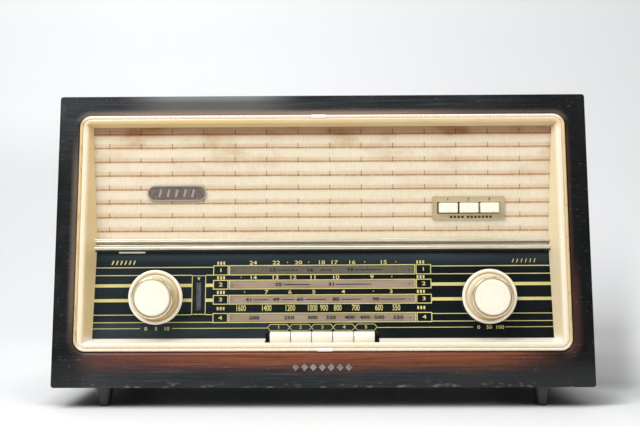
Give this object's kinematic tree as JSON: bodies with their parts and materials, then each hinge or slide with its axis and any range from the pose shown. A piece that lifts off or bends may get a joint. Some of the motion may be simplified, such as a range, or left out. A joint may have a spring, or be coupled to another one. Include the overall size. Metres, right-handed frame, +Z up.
{
  "type": "tube radio",
  "caption": "Mains tube table radio in a wooden cabinet with a leaning front, cream surround, printed dial with sliding pointer, knobs, band keys, tone buttons and grille cloth.",
  "frame": {"origin": "on the surface it stands on, under the middle of the whole width and depth", "axes": "+Z up, +X along the width to the right as seen from the front, +Y from the front to the back"},
  "size_m": [0.56, 0.2446, 0.328],
  "materials": {
    "case_veneer": "dark lacquered veneer",
    "front_veneer": "dark lacquered veneer with a red-brown sunburst near the dial opening",
    "cream_moulding": "aged cream moulding, satin gloss",
    "bead": "pale metallised strip",
    "joiner": "pale sleeves",
    "board": "raw board",
    "cloth": "woven cream grille cloth with brown bands",
    "gilt": "pale gilt",
    "dial_glass": "printed, near black",
    "scale_paint": "pale grey-pink",
    "zinc_steel": "zinc plated sheet",
    "badge_metal": "dark bronzed, light rim",
    "ornament_metal": "polished",
    "dull_gilt": "dull grey-gold",
    "brown_phenolic": "brown moulding",
    "bright_steel": "ground rod",
    "cord_fibre": "waxed drive cord",
    "lamp_glass": "clear",
    "tube_glass": "clear with silver getter",
    "basket_steel": "grey painted pressing",
    "cone_paper": "black-brown felted paper",
    "magnet_ferrite": "ferrite ring and steel pole",
    "core_iron": "varnished laminations",
    "can_aluminium": "drawn can",
    "ferrite": "ferrite rod with wound coil",
    "screw_brass": "brassed steel",
    "black_rubber": "black",
    "foot_plastic": "black tapered legs",
    "ivory": "glossy ivory",
    "ring_metal": "bright ring",
    "pointer_dark": "dark brown needle",
    "drum_plastic": "pale moulding",
    "pulley_brass": "turned"
  },
  "bodies": {
    "cabinet": {"cabinet_case": "case_veneer", "front_frame": "front_veneer", "front_bezel": "cream_moulding", "trim_bead": "bead", "bead_joiners": "joiner", "baffle_board": "board", "grille_cloth": "cloth", "dial_rail": "gilt", "dial_glass": "dial_glass", "scale_plate": "scale_paint", "dial_frame": "zinc_steel", "tuning_bush": "gilt", "badge_plate": "badge_metal", "front_ornament": "ornament_metal", "tone_plate": "dull_gilt", "tone_switch": "brown_phenolic", "chassis": "zinc_steel", "key_rack": "zinc_steel", "key_pivot_rod": "bright_steel", "band_switch": "brown_phenolic", "volume_control": "zinc_steel", "pointer_rail": "bright_steel", "drive_cord": "cord_fibre", "dial_lamps": "lamp_glass", "tuning_eye": "tube_glass", "speaker_basket": "basket_steel", "speaker_cone": "cone_paper", "speaker_magnet": "magnet_ferrite", "output_transformer": "core_iron", "mains_transformer": "core_iron", "radio_tubes": "tube_glass", "tube_sockets": "brown_phenolic", "if_cans": "can_aluminium", "filter_capacitor": "can_aluminium", "capacitor_stator": "can_aluminium", "ferrite_aerial": "ferrite", "rear_sockets": "brown_phenolic", "back_cover": "board", "case_screws": "screw_brass", "cord_grommet": "black_rubber", "feet": "foot_plastic"},
    "volume_control_knob": {"volume_shaft": "bright_steel", "volume_knob": "ivory", "volume_knob_ring": "ring_metal"},
    "tuning_knob_assembly": {"tuning_shaft": "bright_steel", "tuning_knob": "ivory", "tuning_knob_ring": "ring_metal"},
    "pointer": {"dial_pointer": "pointer_dark"},
    "tuning_rotor": {"cord_drum": "drum_plastic", "capacitor_rotor": "can_aluminium"},
    "left_pulley": {"pulley_left": "pulley_brass"},
    "right_pulley": {"pulley_right": "pulley_brass"},
    "key_1": {"band_key_1": "ivory"},
    "key_2": {"band_key_2": "ivory"},
    "key_3": {"band_key_3": "ivory"},
    "key_4": {"band_key_4": "ivory"},
    "key_5": {"band_key_5": "ivory"},
    "button_1": {"tone_button_1": "ivory"},
    "button_2": {"tone_button_2": "ivory"},
    "button_3": {"tone_button_3": "ivory"}
  },
  "joints": [
    {"name": "volume_turn", "type": "hinge", "parent": "cabinet", "child": "volume_control_knob", "pos_m": [-0.1754, -0.11945, 0.1138], "axis": [0, 1, 0], "range_deg": [0, 290]},
    {"name": "tuning_turn", "type": "hinge", "parent": "cabinet", "child": "tuning_knob_assembly", "pos_m": [0.1754, -0.11945, 0.1138], "axis": [0, 1, 0], "range_deg": [-1797, 546.91]},
    {"name": "pointer_slide", "type": "slide", "parent": "cabinet", "child": "pointer", "axis": [1, 0, 0], "range_m": [-0.1385, 0.0425]},
    {"name": "drum_turn", "type": "hinge", "parent": "cabinet", "child": "tuning_rotor", "pos_m": [-0.11605, -0.05345, 0.0958], "axis": [0, 1, 0], "range_deg": [-139, 43]},
    {"name": "left_pulley_turn", "type": "hinge", "parent": "cabinet", "child": "left_pulley", "pos_m": [-0.19034, -0.05345, 0.15179], "axis": [0, 1, 0], "range_deg": [-993.35, 305.8]},
    {"name": "right_pulley_turn", "type": "hinge", "parent": "cabinet", "child": "right_pulley", "pos_m": [0.14, -0.05345, 0.15179], "axis": [0, 1, 0], "range_deg": [-993.35, 305.8]},
    {"name": "key_1_press", "type": "hinge", "parent": "cabinet", "child": "key_1", "pos_m": [-0.0438, -0.06748, 0.07054], "axis": [1, 0, 0], "range_deg": [0, 5], "stiffness_Nm_per_rad": 1.2},
    {"name": "key_2_press", "type": "hinge", "parent": "cabinet", "child": "key_2", "pos_m": [-0.0219, -0.06748, 0.07054], "axis": [1, 0, 0], "range_deg": [0, 5], "stiffness_Nm_per_rad": 1.2},
    {"name": "key_3_press", "type": "hinge", "parent": "cabinet", "child": "key_3", "pos_m": [0, -0.06748, 0.07054], "axis": [1, 0, 0], "range_deg": [0, 5], "stiffness_Nm_per_rad": 1.2},
    {"name": "key_4_press", "type": "hinge", "parent": "cabinet", "child": "key_4", "pos_m": [0.0219, -0.06748, 0.07054], "axis": [1, 0, 0], "range_deg": [0, 5], "stiffness_Nm_per_rad": 1.2},
    {"name": "key_5_press", "type": "hinge", "parent": "cabinet", "child": "key_5", "pos_m": [0.0438, -0.06748, 0.07054], "axis": [1, 0, 0], "range_deg": [0, 5], "stiffness_Nm_per_rad": 1.2},
    {"name": "button_1_press", "type": "slide", "parent": "cabinet", "child": "button_1", "axis": [0, 1, 0], "range_m": [0, 0.004], "stiffness_N_per_m": 350},
    {"name": "button_2_press", "type": "slide", "parent": "cabinet", "child": "button_2", "axis": [0, 1, 0], "range_m": [0, 0.004], "stiffness_N_per_m": 350},
    {"name": "button_3_press", "type": "slide", "parent": "cabinet", "child": "button_3", "axis": [0, 1, 0], "range_m": [0, 0.004], "stiffness_N_per_m": 350}
  ],
  "couplings": [
    {"joint": "pointer_slide", "follows": "tuning_turn", "m_per_rad": 0.0044},
    {"joint": "drum_turn", "follows": "tuning_turn", "ratio": 0.076794},
    {"joint": "left_pulley_turn", "follows": "tuning_turn", "ratio": 0.55},
    {"joint": "right_pulley_turn", "follows": "tuning_turn", "ratio": 0.55}
  ]
}
